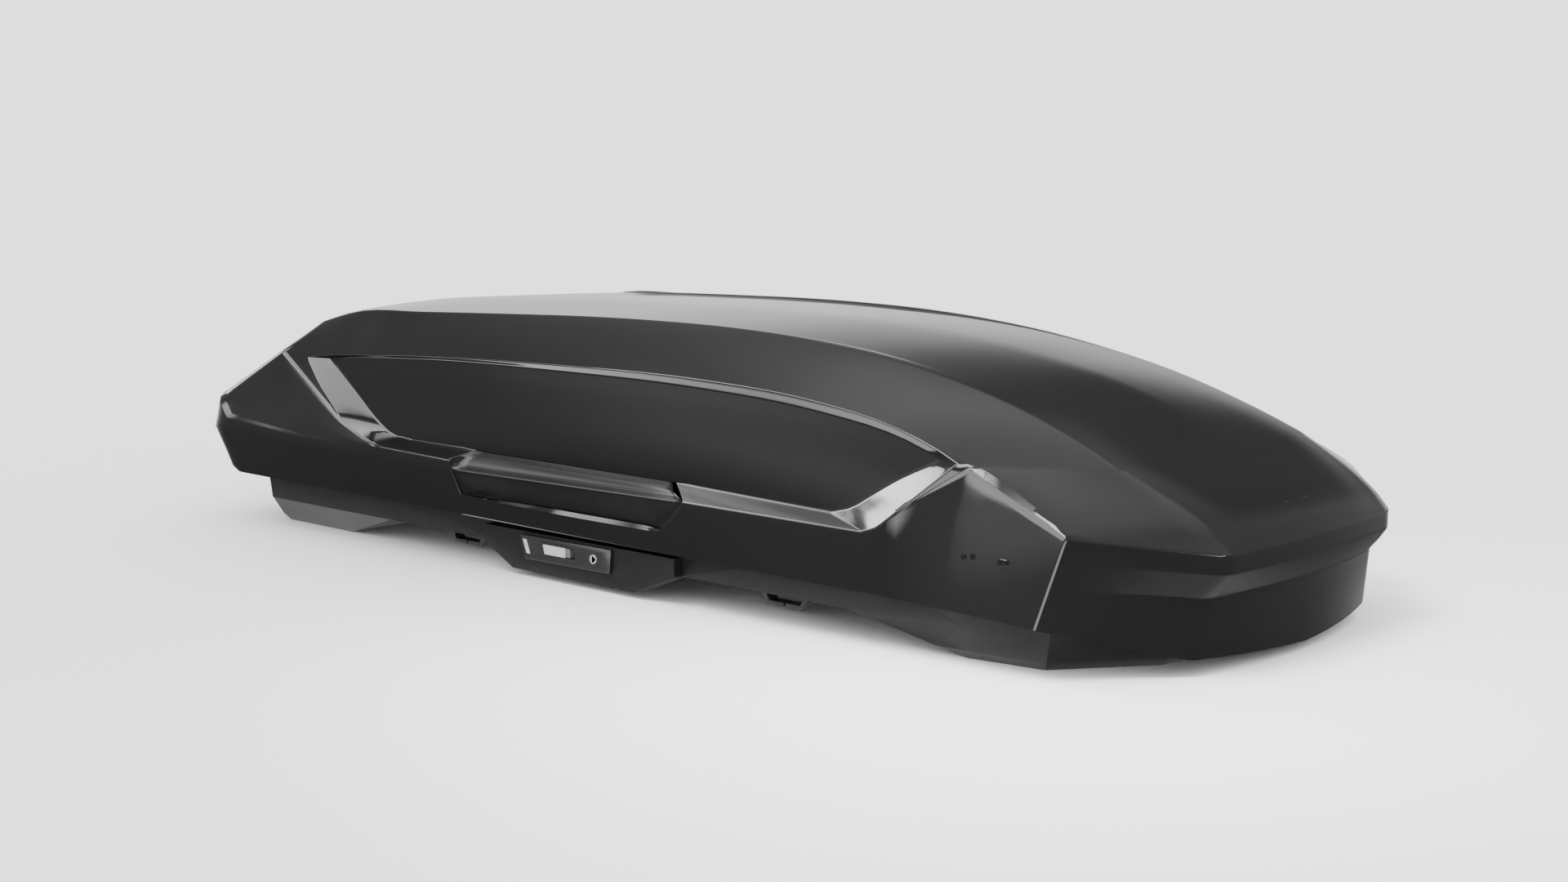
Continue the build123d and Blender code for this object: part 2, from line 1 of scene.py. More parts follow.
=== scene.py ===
"""Looks of the roof cargo box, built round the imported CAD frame. Lengths in the tables are millimetres
in the frame's own axes; near-side shapes are given with positive half-widths and mirrored to both sides."""
import json
import math
from types import SimpleNamespace
import bmesh
import bpy
import numpy as np
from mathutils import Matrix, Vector

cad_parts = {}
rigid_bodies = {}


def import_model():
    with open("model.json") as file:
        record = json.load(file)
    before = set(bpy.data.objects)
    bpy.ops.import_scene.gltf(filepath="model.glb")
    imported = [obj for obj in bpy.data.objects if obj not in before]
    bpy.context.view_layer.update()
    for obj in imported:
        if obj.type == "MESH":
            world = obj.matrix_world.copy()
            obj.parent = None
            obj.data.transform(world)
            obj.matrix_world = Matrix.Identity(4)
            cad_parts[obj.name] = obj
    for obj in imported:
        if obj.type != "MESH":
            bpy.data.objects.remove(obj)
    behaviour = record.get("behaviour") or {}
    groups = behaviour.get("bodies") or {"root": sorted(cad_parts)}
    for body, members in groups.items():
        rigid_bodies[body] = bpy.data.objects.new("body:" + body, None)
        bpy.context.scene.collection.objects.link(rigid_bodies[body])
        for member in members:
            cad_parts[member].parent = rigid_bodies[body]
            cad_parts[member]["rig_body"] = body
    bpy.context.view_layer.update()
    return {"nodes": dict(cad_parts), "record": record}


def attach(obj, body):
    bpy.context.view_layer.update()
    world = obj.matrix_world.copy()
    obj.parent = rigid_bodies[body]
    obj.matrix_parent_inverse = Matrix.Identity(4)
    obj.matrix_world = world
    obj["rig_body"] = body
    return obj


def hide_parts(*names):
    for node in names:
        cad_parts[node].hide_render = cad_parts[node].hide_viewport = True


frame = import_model()
MM = 0.001
SIDES = (("near", -1), ("far", 1))


# ---------------------------------------------------------------- curves
def spaced(points, count, smooth=False):
    """count + 1 points, evenly spaced along a line or a smooth curve through the given points."""
    pts = np.array(points, float)
    if smooth and len(pts) > 2:
        pts = fine_curve(pts)
    steps = np.linalg.norm(np.diff(pts, axis=0), axis=1)
    length = np.concatenate([[0], np.cumsum(steps)])
    wanted = np.linspace(0, length[-1], count + 1)
    return np.stack([np.interp(wanted, length, pts[:, k]) for k in range(3)], 1)


def fine_curve(pts, parts=16):
    """Smooth curve through the points, as many short runs."""
    gap = np.linalg.norm(np.diff(pts, axis=0), axis=1)
    slope = np.diff(pts, axis=0) / gap[:, None]
    tangent = np.empty_like(pts)
    tangent[0], tangent[-1] = slope[0], slope[-1]
    a, b = gap[:-1, None], gap[1:, None]
    tangent[1:-1] = (slope[:-1] * b + slope[1:] * a) / (a + b)
    out = []
    for i, h in enumerate(gap):
        for t in np.arange(parts) / parts:
            out.append((2 * t**3 - 3 * t**2 + 1) * pts[i] + (t**3 - 2 * t**2 + t) * h * tangent[i]
                       + (3 * t**2 - 2 * t**3) * pts[i + 1] + (t**3 - t**2) * h * tangent[i + 1])
    return np.array(out + [pts[-1]])


def joined(*curves):
    """One curve from several that follow each other, without the doubled points."""
    return np.concatenate([curves[0]] + [c[1:] for c in curves[1:]])


def at_x(points, xs):
    """Points at the given x on a line through the points, which run with x."""
    pts = np.array(sorted(map(tuple, points)), float)
    return np.stack([xs, np.interp(xs, pts[:, 0], pts[:, 1]), np.interp(xs, pts[:, 0], pts[:, 2])], 1)


# ---------------------------------------------------------------- patches
class Skin:
    """Patches that share their edges' points, gathered into one mesh, with the widths of its rounded edges."""

    def __init__(self):
        self.grids, self.edges = [], []

    def rows(self, rows):
        """Patch given by its rows of points."""
        self.grids.append(np.array(rows, float))

    def coons(self, bottom, top, left, right, bulge=0.0, push=(0, 1, 0.3)):
        """Patch between four curves. It swells by bulge, in mm or as a function of the place across."""
        bottom, top, left, right = (np.array(c, float) for c in (bottom, top, left, right))
        v = np.linspace(0, 1, len(left))[:, None, None]
        u = share(bottom, top)[None, :, None]
        ruled = (1 - v) * bottom[None] + v * top[None]
        sides = (1 - u) * left[:, None] + u * right[:, None]
        corners = ((1 - u) * (1 - v) * bottom[0] + u * (1 - v) * bottom[-1]
                   + (1 - u) * v * top[0] + u * v * top[-1])
        swell = np.array([bulge(t) if callable(bulge) else bulge * math.sin(math.pi * t) for t in u.ravel()])
        grid = ruled + sides - corners
        grid = grid + (4 * v * (1 - v)) * swell[None, :, None] * np.array(push)
        self.grids.append(grid)

    def round(self, curve, width):
        """Every edge along the curve gets rounded by width, a number or one for each run."""
        widths = [width] * (len(curve) - 1) if np.isscalar(width) else list(width)
        self.edges += list(zip(curve[:-1], curve[1:], widths))

    def build(self, name, widest, sides=(-1, 1)):
        """Mesh object of all patches on the given sides, joined where they meet."""
        bm = bmesh.new()
        for side in sides:
            for grid in self.grids:
                m, n = grid.shape[:2]
                verts = [[bm.verts.new(place(p, side)) for p in row] for row in grid]
                for i in range(m - 1):
                    for j in range(n - 1):
                        bm.faces.new((verts[i][j], verts[i][j + 1], verts[i + 1][j + 1], verts[i + 1][j]))
        bmesh.ops.remove_doubles(bm, verts=bm.verts, dist=0.05 * MM)
        bmesh.ops.dissolve_degenerate(bm, edges=bm.edges, dist=0.02 * MM)
        bmesh.ops.recalc_face_normals(bm, faces=bm.faces)
        weight = bm.edges.layers.float.new("bevel_weight_edge")
        found = {key(v.co): v for v in bm.verts}
        for side in sides:
            for a, b, width in self.edges:
                va, vb = found.get(key(place(a, side))), found.get(key(place(b, side)))
                edge = bm.edges.get((va, vb)) if va and vb and va != vb else None
                if edge:
                    edge[weight] = max(edge[weight], width / widest)
        return new_piece(name, bm)


def new_piece(name, bm):
    """Smooth-shaded object from a bmesh, which is freed."""
    mesh = bpy.data.meshes.new(name)
    bm.to_mesh(mesh)
    bm.free()
    mesh.polygons.foreach_set("use_smooth", [True] * len(mesh.polygons))
    piece = bpy.data.objects.new(name, mesh)
    bpy.context.scene.collection.objects.link(piece)
    return piece


def share(bottom, top):
    """Share of the way across at each column, the mean of both edges."""
    parts = []
    for curve in (bottom, top):
        steps = np.linalg.norm(np.diff(curve, axis=0), axis=1)
        total = max(steps.sum(), 1e-9)
        parts.append(np.concatenate([[0], np.cumsum(steps)]) / total)
    return (parts[0] + parts[1]) / 2


def place(p, side):
    """Point in metres on the given side of the box."""
    return Vector((p[0] * MM, side * p[1] * MM, p[2] * MM))


def key(co):
    """The point's place on a grid of a quarter of a millimetre."""
    return tuple(round(c / MM * 4) for c in co)


def modifier(piece, kind, **settings):
    """Add a modifier with the given settings."""
    m = piece.modifiers.new(f"{kind.lower()}_{len(piece.modifiers)}", kind)
    for name, value in settings.items():
        setattr(m, name, value)


RIM_ANGLE = math.radians(62)


def as_moulding(piece, widest, wall, rim):
    """Round the marked edges, give the skin its wall inwards, and round the free rims."""
    modifier(piece, "BEVEL", limit_method="WEIGHT", width=widest * MM, segments=3, use_clamp_overlap=False)
    modifier(piece, "SOLIDIFY", thickness=wall * MM, offset=-1)
    modifier(piece, "BEVEL", limit_method="ANGLE", angle_limit=RIM_ANGLE, width=rim * MM, segments=2)
    modifier(piece, "WEIGHTED_NORMAL", weight=70, keep_sharp=False)


# ---------------------------------------------------------------- lid
# runs along each line of the lid
N_REAR, N_CORNER, N_TAPER, N_BELT, N_LEDGE_R = 10, 5, 12, 4, 6
N_UP, N_DIAG, N_LOW, N_TOP, N_BAND, N_SKIRT = 7, 8, 4, 40, 12, 8
N_GRIP_END, N_GRIP_FOOT, N_BROW, N_DECK = 3, 16, 6, 12
N_GRIP = N_GRIP_FOOT + 2 * N_GRIP_END
N_LEDGE_F = N_TOP - N_LEDGE_R - N_GRIP
ROOF_SHARES = [0, 0.045, 0.075] + list(np.linspace(0.15, 1, N_BAND - 2))

# corners of the side recess (K to V0), the nose (P0 to B0, A1), the grip's opening (H1 to H4I), the recess
# floor (I0 to L1) and the roof (Q0 to G0)
K, J1, J2 = (-943, 426, 358), (-705, 461, 244), (-552, 472, 204)
U0, V0 = (-860, 425, 352), (785, 425, 304)
J3, J4 = (640, 473, 190), (687, 470, 215)
P0, A0, B0 = (808, 420, 299), (994, 443, 219), (1149, 258, 187)
A1 = (951, 456, 81)
Q0, R0, G0 = (-868, 380, 421), (971, 281, 299), (1007, 0, 292)
FRONT = (1160, 0, 187)
H1, H2, H3, H4 = (-361, 472, 199), (-328, 467, 136), (194, 466.5, 137), (252, 473, 191)
H1I, H4I = (-327, 430, 215), (195, 430, 211)
I0, I7 = (-790, 416, 353), (753, 420, 307)
L0, L1 = (-519, 430, 215), (536, 431, 201)
TAPER = (-693, 472.8, 200)
ROOF_REAR = (-980, 0, 440)
RIDGE = [Q0, (-752, 373, 448), (-577, 357, 455), (-310, 328, 463), (-189, 314, 466), (4, 294, 467),
         (188, 277, 463), (331, 267, 454), (504, 260, 434), (604, 259, 416), (686, 261, 398), (767, 264, 376),
         (848, 269, 349), (928, 276, 318), R0]
CROWN = [ROOF_REAR, (-868, 0, 450), (-577, 0, 462), (-290, 0, 467), (4, 0, 469.5), (331, 0, 460),
         (604, 0, 430), (808, 0, 384), (900, 0, 349), (960, 0, 318), G0]
TOP_OUTER = [U0, (-796, 424.5, 361), (-667, 424, 369), (-538, 424, 377), (-205, 424, 387),
             (-74, 424, 389.5), (229, 424, 390), (501, 424, 374.5), (667, 424, 347), (742, 424.5, 323), V0]
TOP_INNER = [I0, (-705, 417, 361), (-550, 417.5, 370), (-85, 418, 378), (220, 418, 375), (494, 418, 359),
             (663, 418.5, 334), I7]
REAR_INNER = [L0, (-588, 428.5, 223), (-640, 425, 248), (-695, 421, 285), I0]
FRONT_INNER = [L1, (579, 430, 213), (625, 427, 240), (663, 424, 263), I7]
HEM = [(-1083, 440, 101), (-1045, 463, 101), (-1000, 463, 101), (-500, 463, 99.5), (-20, 463, 96),
       (370, 463, 93.5), (655, 463, 92), (735, 462.5, 90), (815, 461, 87.5), (890, 459, 85.5), A1]
WIDEST_ROUNDING = 14


def ring(x_rear, corner, z):
    """Half outline at the tail: straight from the middle, then round the corner through its points."""
    straight = spaced([(x_rear, 0, z), (x_rear + 2, 425, z)], N_REAR)
    return joined(straight, spaced([tuple(straight[-1])] + corner, N_CORNER, smooth=True))


def tail_rings():
    """Outlines round the tail, from the hem up to the foot of the quarter panel."""
    hem = ring(-1090, [(-1085, 447, 101.5), (-1070, 458, 101), (-1045, 463, 101)], 102)
    tuck = ring(-1104, [(-1098, 452, 112), (-1082, 463, 112), (-1055, 465, 112)], 112)
    widest = ring(-1160, [(-1151, 455, 190), (-1126, 471, 192), (-1083, 474.2, 196)], 191)
    outer = ring(-1141, [(-1134, 450, 259), (-1118, 466, 245), (-1083, 474.3, 214)], 262)
    inner = ring(-1122, [(-1116, 448, 267), (-1103, 460, 255), (-1068, 469, 224)], 268)
    return hem, tuck, widest, outer, inner


def through_levels(levels, fractions, counts):
    """Rows of a patch that passes through several level curves, given where on the way each level lies."""
    rows = []
    for t in counts:
        k = max(i for i, f in enumerate(fractions) if f <= t + 1e-9)
        k = min(k, len(levels) - 2)
        w = (t - fractions[k]) / (fractions[k + 1] - fractions[k])
        rows.append((1 - w) * levels[k] + w * levels[k + 1])
    return np.array(rows)


def nose_levels():
    """The nose's level lines from side edge to centre: top edge, undercut top, middle and foot, and hem."""
    edge = spaced([A0, A1], N_SKIRT)
    ends = [A0, edge[2], edge[3], edge[4], A1]
    corners = [B0, (1149, 258, 158), (1134, 261, 139), (1117, 262, 120), (1102, 274, 27)]
    fronts = [FRONT, (1160, 0, 158), (1152, 0, 139), (1141, 0, 120), (1142, 0, 15)]
    step_down = 0.18                     # share of the corner edge from one level's start to the next
    levels = []
    for row, (end, corner, front) in enumerate(zip(ends, corners, fronts)):
        side = spaced([end, corner], 6)
        if 0 < row < 4:
            start = np.array(B0) + (np.array(corners[-1]) - np.array(B0)) * (row * step_down)
            flat = spaced([end, tuple(start)], 6)
            ease = np.array([0, 0, 0.25, 0.7, 0.93, 1, 1])[:, None]
            side = flat * (1 - ease) + spaced([end, corner], 6) * ease
            side[0], side[-1] = end, corner
        t = np.linspace(0, 1, 13)[1:]
        bow = np.stack([corner[0] + (front[0] - corner[0]) * (1 - (1 - t) ** 2), corner[1] * (1 - t),
                        corner[2] + (front[2] - corner[2]) * t], 1)
        levels.append(np.concatenate([side, bow]))
    return levels


def lid_curves():
    """Every line that patches of the lid share, for the side with positive half-widths."""
    c = SimpleNamespace()
    c.hem, c.tuck, c.widest, c.outer, c.inner = tail_rings()
    c.tail_corner = c.inner[N_REAR + 2]
    c.lower_line = spaced([tuple(c.outer[-1]), (-829, 474.2, 200), TAPER], N_TAPER)
    c.upper_line = spaced([tuple(c.inner[-1]), (-829, 471, 203), TAPER], N_TAPER)
    c.belt = spaced([TAPER, J2], N_BELT)
    c.ledge_rear, c.ledge_front = spaced([J2, H1], N_LEDGE_R), spaced([H4, J3], N_LEDGE_F)
    c.grip = joined(spaced([H1, H2], N_GRIP_END), spaced([H2, H3], N_GRIP_FOOT), spaced([H3, H4], N_GRIP_END))
    c.low_rear = spaced([J1, (-630, 468, 218), (-585, 470.2, 207), J2], N_LOW, smooth=True)
    c.low_diag = spaced([J3, (668, 472, 200), J4], N_LOW, smooth=True)
    c.high_rear, c.high_diag = spaced([K, J1], N_DIAG), spaced([J4, P0], N_DIAG)
    c.rear_outer = spaced([U0, (-790, 447, 303), J1], N_DIAG)
    c.front_outer = spaced([J4, (735, 449, 258), V0], N_DIAG)
    c.step_rear, c.step_front = stepped(c.high_rear, c.rear_outer), stepped(c.high_diag, c.front_outer)
    c.top_outer, c.top_inner = spaced(TOP_OUTER, N_TOP, True), spaced(TOP_INNER, N_TOP, True)
    c.rear_inner = spaced(REAR_INNER, N_DIAG + N_LOW, True)
    c.front_inner = spaced(FRONT_INNER, N_DIAG + N_LOW, True)
    c.floor_rear, c.floor_front = spaced([L0, H1I], N_LEDGE_R), spaced([H4I, L1], N_LEDGE_F)
    c.peak_edge = spaced([tuple(c.tail_corner), K], N_UP)
    c.brow, c.shoulder = spaced([P0, A0], N_BROW), spaced([A0, B0], N_BROW)
    c.nose = nose_levels()
    c.nose_side = through_levels(c.nose, [0, .25, .375, .5, 1], np.linspace(0, 1, N_SKIRT + 1))
    c.band_foot = joined(np.array([c.high_rear[0], c.step_rear[0], c.rear_outer[0]]), c.top_outer,
                         np.array([c.front_outer[-1], c.step_front[-1], c.high_diag[-1]]))
    c.ridge = spaced(RIDGE, len(c.band_foot) - 1, True)
    c.crown = spaced(CROWN, len(c.ridge) - 1, True)
    c.band_left, c.band_right = spaced([K, Q0], N_BAND), spaced([P0, R0], N_BAND)
    c.roof_rear = shared_out([Q0, (-905, 300, 430), (-950, 150, 437), ROOF_REAR], ROOF_SHARES)
    c.dome_front = shared_out([R0, (988, 230, 297), (1003, 110, 293), G0], ROOF_SHARES)
    c.grip_ends = spaced([H1, H1I], 3), spaced([H4, H4I], 3)
    return c


def tail_and_skirt(skin, c):
    """Tail wall, and the skirt from the tail corner to the nose corner."""
    tail = through_levels([c.hem, c.tuck, c.widest, c.outer], [0, 0.125, 0.625, 1],
                          np.linspace(0, 1, N_SKIRT + 1))
    skin.rows(tail)
    skin.rows([c.outer, c.inner])
    skirt_top = joined(c.lower_line, c.belt, c.ledge_rear, c.grip, c.ledge_front, c.low_diag, c.high_diag,
                       c.brow)
    xs = skirt_top[:, 0].copy()
    xs[0] = c.hem[-1][0]
    early, late = xs < TAPER[0], skirt_top[:, 0] > J4[0]
    xs[early] = np.interp(skirt_top[early, 0], [skirt_top[0, 0], TAPER[0]], [c.hem[-1][0], TAPER[0]])
    xs[late] = np.interp(skirt_top[late, 0], [J4[0], A0[0]], [J4[0], A1[0]])
    skirt_hem = at_x(HEM, xs)
    skirt_hem[0] = c.hem[-1]
    tail_x, fullness, nose_fullness, fade = -1083, 0.9, 6, 8

    def skirt_swell(t):
        x = tail_x + t * (A0[0] - tail_x)
        at_nose = np.interp(x, [690, P0[0], A0[0]], [0, nose_fullness, 0])
        return fullness * min(1, t * fade, (1 - t) * fade) + float(at_nose)
    skin.coons(skirt_hem, skirt_top, tail[:, -1], c.nose_side[::-1, 0], skirt_swell, push=(0, 1, 0))


def quarter_panel(skin, c):
    """Ledge at the tail that narrows to nothing, and the slightly full quarter panel above it."""
    skin.rows([c.lower_line, c.upper_line])
    foot = joined(c.inner[N_REAR + 2:], c.upper_line, c.belt)
    head = joined(c.peak_edge, c.high_rear, c.low_rear)
    along = np.sin(np.pi * np.linspace(0, 1, len(foot)))[:, None]
    outwards, fullness = np.array((0, 1, 0.3)), 3
    skin.rows([(1 - t) * foot + t * head + outwards * fullness * 4 * t * (1 - t) * along
               for t in np.linspace(0, 1, 7)])


def side_recess(skin, c):
    """Steps, bevels and ledges round the recess, and the panel in it."""
    skin.rows([c.high_rear, c.step_rear, c.rear_outer])
    skin.rows([c.high_diag, c.step_front, c.front_outer])
    rear_all, front_all = joined(c.rear_outer, c.low_rear), joined(c.low_diag, c.front_outer)
    for a, b in ((rear_all, c.rear_inner[::-1]), (c.top_outer, c.top_inner), (front_all, c.front_inner),
                 (c.ledge_rear, c.floor_rear), (c.ledge_front, c.floor_front)):
        skin.rows([a * (1 - t) + b * t for t in (0, 1 / 3, 2 / 3, 1)])
    panel_foot = joined(c.floor_rear, spaced([H1I, H4I], N_GRIP), c.floor_front)
    skin.coons(panel_foot, c.top_inner, c.rear_inner, c.front_inner, 3.0, push=(0, 1, 0))


def top_and_nose(skin, c):
    """Band above the recess, roof, tail slope, nose deck and nose wall."""
    skin.coons(c.band_foot, c.ridge, c.band_left, c.band_right,
               lambda t: 9 * math.sin(math.pi * t) ** 0.6, push=(0, 0.6, 0.6))
    roof(skin, c.ridge, c.crown, c.roof_rear, c.dome_front)
    slope_side = joined(c.peak_edge, c.band_left)
    slope_middle = spaced([tuple(c.inner[0]), (-1090, 0, 318), (-1030, 0, 392), ROOF_REAR],
                          len(slope_side) - 1, True)
    skin.coons(c.inner[:N_REAR + 3], c.roof_rear[::-1], slope_middle, slope_side, 4, push=(-0.5, 0, 0.8))
    deck_outer = joined(c.brow, c.shoulder, c.nose[0][N_BROW:])
    deck_middle = spaced([FRONT, (1141, 0, 216), (1110, 0, 240), (1060, 0, 266), G0], N_DECK, True)
    skin.coons(deck_outer, joined(c.band_right, c.dome_front), np.array([P0] * (N_DECK + 1)), deck_middle, 3,
               push=(0.2, 0, 1))
    skin.rows(c.nose_side)


def grip_flanges(skin, c):
    """Flanges that turn inwards round the grip's opening."""
    skin.rows([c.grip, c.grip - np.array((0, 7, 0))])
    for end in c.grip_ends:
        skin.rows([end, end - np.array((0, 5, 5))])


def lid_roundings(skin, c):
    """Width in millimetres of each rounded edge."""
    fade = list(2 * np.linspace(1, 0.15, N_TAPER))
    bow_start = [0.3, 0.3, 1]
    for curve, width in (
            (c.outer, 2), (c.inner, 2), (c.lower_line, fade), (c.upper_line, fade),
            (c.peak_edge, 6), (c.band_left, 8), (c.roof_rear, 9), (c.high_rear, 2.5), (c.low_rear, 3),
            (c.rear_outer, 2), (c.ledge_rear, 3), (c.ledge_front, 3), (c.low_diag, 3), (c.high_diag, 2.5),
            (c.front_outer, 2), (c.brow, 13), (c.shoulder, 3), (c.nose[0][N_BROW:], 3),
            (spaced([A0, A1], N_SKIRT), 3.5), (c.nose_side[:, N_BROW], 13),
            (c.step_rear, 1.5), (c.step_front, 1.5), (c.floor_rear, 3), (c.floor_front, 3),
            (c.top_outer, 1.8), (c.top_inner, 2), (c.rear_inner, 3), (c.front_inner, 3),
            (c.band_right, 2), (c.ridge, 3.5), (c.dome_front, WIDEST_ROUNDING),
            (c.nose_side[2], bow_start + [2.5] * 15), (c.nose_side[4], bow_start + [2.2] * 15),
            (spaced([J2, L0], 3), 2), (spaced([J3, L1], 3), 2),
            (c.grip, 2.6), (c.grip_ends[0], 2.2), (c.grip_ends[1], 2.2)):
        skin.round(curve, width)


def make_lid():
    """One skin for both sides, rounded and thickened."""
    skin, curves = Skin(), lid_curves()
    for add in (tail_and_skirt, quarter_panel, side_recess, top_and_nose, grip_flanges, lid_roundings):
        add(skin, curves)
    piece = skin.build("lid_skin", WIDEST_ROUNDING)
    as_moulding(piece, WIDEST_ROUNDING, wall=3.6, rim=1.1)
    finished(piece, "lid", "lid_gloss_black", "lid_shell")


def stepped(edge, other, reach=5, depth=3, full_width=20):
    """Line beside an edge, towards another line and a little deeper, that dies out where the two meet."""
    across = other - edge
    width = np.linalg.norm(across, axis=1)[:, None]
    share_of = np.clip(reach / np.maximum(width, 1e-6), 0, 0.5)
    fade = np.clip(width / full_width, 0, 1)
    return edge + across * share_of - np.array((0, 1, 0)) * depth * fade


def roof(skin, ridge, crown, roof_rear, dome_front):
    """Half of the roof: a narrow raised lip inside the ridge, then the slightly lower panel."""
    lip_height = 4.0
    drop = lip_height * np.interp(ridge[:, 0], [-868, -760, 150, 620], [0, 1, 1, 0])
    rows = []
    for t in ROOF_SHARES:
        row = (1 - t) * ridge + t * crown
        row[:, 2] += (crown[:, 2] - ridge[:, 2]) * (math.sin(t * math.pi / 2) - t) * 0.8
        sink = float(np.interp(t, [0, 0.045, 0.075, 0.4, 0.9, 1], [0, 0, 1, 0.6, 0, 0]))
        row[:, 2] -= drop * sink
        rows.append(row)
    rows = np.array(rows)
    blend_ends(rows, roof_rear, dome_front)
    skin.rows(rows)
    skin.round(rows[1], 2)
    skin.round(rows[2], 2)


def shared_out(points, shares):
    """Points at the given shares of the length of a smooth curve."""
    fine = spaced(points, 200, True)
    return fine[np.round(np.array(shares) * 200).astype(int)]


def blend_ends(rows, left, right, reach=8):
    """Shift a patch's first and last columns onto its end curves, and let the shift die out inwards."""
    for end, curve in ((0, left), (-1, right)):
        gap = curve - rows[:, end]
        for k in range(reach):
            column = k if end == 0 else -1 - k
            rows[:, column] += gap * (1 - k / reach) ** 2


# ---------------------------------------------------------------- handles
# half-width and height of each lengthwise line of the grip panel, at its tail end and at its nose end
GRIP_TAIL = [(430, 214), (446, 205), (453, 196), (458, 188), (470, 182), (469, 175), (464, 153), (461.5, 138)]
GRIP_NOSE = [(430, 211), (446, 206), (453, 201), (458, 195), (471, 189.5), (469.5, 183), (465, 158), (462, 139)]
GRIP_ROUNDINGS = {1: 3, 2: 3, 3: 3, 4: 3, 6: 6}


def make_handle(side_name, side):
    """Grip panel: sloped top, finger groove, crease, and a lower face that tucks in."""
    tail_x = [(138, -326.5), (198, -359.5), (214, -328)]      # height and x of the slanted ends
    nose_x = [(138, 193.5), (190, 250.5), (211, 195)]
    end_y = [(137, 464.5), (199, 470.5), (214, 430)]          # height and half-width where the ends close
    close_within = 0.03
    shares = [0, 0.012, 0.03, 0.06] + list(np.linspace(0.1, 0.9, 15)) + [0.94, 0.97, 0.988, 1]
    rows = []
    for (y_tail, z_tail), (y_nose, z_nose) in zip(GRIP_TAIL, GRIP_NOSE):
        left = np.interp(z_tail, *zip(*tail_x))
        right = np.interp(z_nose, *zip(*nose_x))
        row = []
        for t in shares:
            y, z = y_tail + (y_nose - y_tail) * t, z_tail + (z_nose - z_tail) * t
            closing = max(0.0, 1 - min(t, 1 - t) / close_within)
            y += (np.interp(z, *zip(*end_y)) - y) * closing
            row.append((left + (right - left) * t, y, z))
        rows.append(row)
    skin = Skin()
    skin.rows(rows)
    for index, width in GRIP_ROUNDINGS.items():
        skin.round(skin.grids[0][index], width)
    widest = max(GRIP_ROUNDINGS.values())
    piece = skin.build(f"handle_grip_{side_name}", widest, sides=(side,))
    as_moulding(piece, widest, wall=3.0, rim=0.9)
    finished(piece, "lid", "handle_satin_black", f"handle_{side_name}")


# ---------------------------------------------------------------- rounded copies and plates
def finished(piece, body, slot, *nodes):
    """Let a piece ride, take its slot's material, and stand for CAD nodes."""
    piece.data.materials.clear()
    piece.data.materials.append(MATERIALS[slot])
    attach(piece, body)
    if nodes:
        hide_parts(*nodes)


def round_edges(piece, width, angle, segments=3):
    modifier(piece, "BEVEL", limit_method="ANGLE", angle_limit=math.radians(angle), width=width * MM,
             segments=segments, use_clamp_overlap=True, harden_normals=True)


def rounded(node, name, width, segments=3):
    """Copy of a CAD piece's shape with its flat faces made whole and every edge rounded."""
    source = frame["nodes"][node]
    bm = bmesh.new()
    bm.from_mesh(source.data)
    bmesh.ops.remove_doubles(bm, verts=bm.verts, dist=0.02 * MM)
    bmesh.ops.dissolve_limit(bm, angle_limit=math.radians(1.5), verts=bm.verts, edges=bm.edges)
    bmesh.ops.recalc_face_normals(bm, faces=bm.faces)
    piece = new_piece(name, bm)
    round_edges(piece, width, 28, segments)
    finished(piece, source["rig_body"], SLOT_OF[node], node)


def plate(name, outline, y_back, y_face, side, body, slot, width, nodes=()):
    """Flat prism with rounded edges, standing off the side of the box."""
    bm = bmesh.new()
    back = [bm.verts.new(place((x, y_back, z), side)) for x, z in outline]
    face = [bm.verts.new(place((x, y_face, z), side)) for x, z in outline]
    bm.faces.new(back)
    bm.faces.new(face)
    for i in range(len(outline)):
        j = (i + 1) % len(outline)
        bm.faces.new((back[i], back[j], face[j], face[i]))
    bmesh.ops.recalc_face_normals(bm, faces=bm.faces)
    piece = new_piece(name, bm)
    round_edges(piece, width, 20)
    finished(piece, body, slot, *nodes)


def make_locks():
    """Slider with its slanted end and step, the step in darker grey as painted shade of its recess, and the
    light marking strip, on both sides.
    """
    slider = [(-117, 50.3), (-63, 50.3), (-63, 67.7), (-121.5, 67.7)]
    step = [(-64, 51), (-53, 51), (-53, 67), (-64, 67)]
    strip = [(-167, 45.5), (-157, 45.5), (-167, 71), (-177, 71)]
    slider_back, bezel_face = 440, 450.2
    for side_name, side in SIDES:
        latch = f"latch_{side_name}"
        plate(f"slider_{side_name}", slider, slider_back, 453, side, latch, "slider_grey_plastic", 1.2,
              [f"lock_slider_{side_name}"])
        # the step's darker knob grey is painted shade: it stands for the shade that falls in its recess
        plate(f"slider_step_{side_name}", step, slider_back, 449.5, side, latch, "knob_grey_plastic", 0.6)
        plate(f"marking_strip_{side_name}", strip, bezel_face, 451.6, side, "base", "slider_grey_plastic", 0.6)


def round_the_fittings():
    """Tub, bezels, key cylinders and clamps, with every edge rounded."""
    for side_name, _ in SIDES:
        rounded(f"lock_bezel_{side_name}", f"bezel_{side_name}", 1.2)
        rounded(f"lock_cylinder_{side_name}", f"key_{side_name}", 0.7, 2)
        for end in ("rear", "front"):
            unit = f"clamp_{end}_{side_name}"
            rounded(f"{unit}_housing", f"{unit}_cover", 3.0)
            rounded(f"{unit}_knob", f"{unit}_grip", 2.0)
            for jaw in ("a", "b"):
                rounded(f"{unit}_jaw_{jaw}", f"{unit}_claw_{jaw}", 2.0)
    rounded("base_tub", "tub_moulding", 3.5)


# ---------------------------------------------------------------- materials
# sockets of a Mix node that share their names: colours A and B and their result, then floats A and B
COLOUR_A, COLOUR_B, COLOUR_OUT, FLOAT_A, FLOAT_B = 6, 7, 2, 2, 3


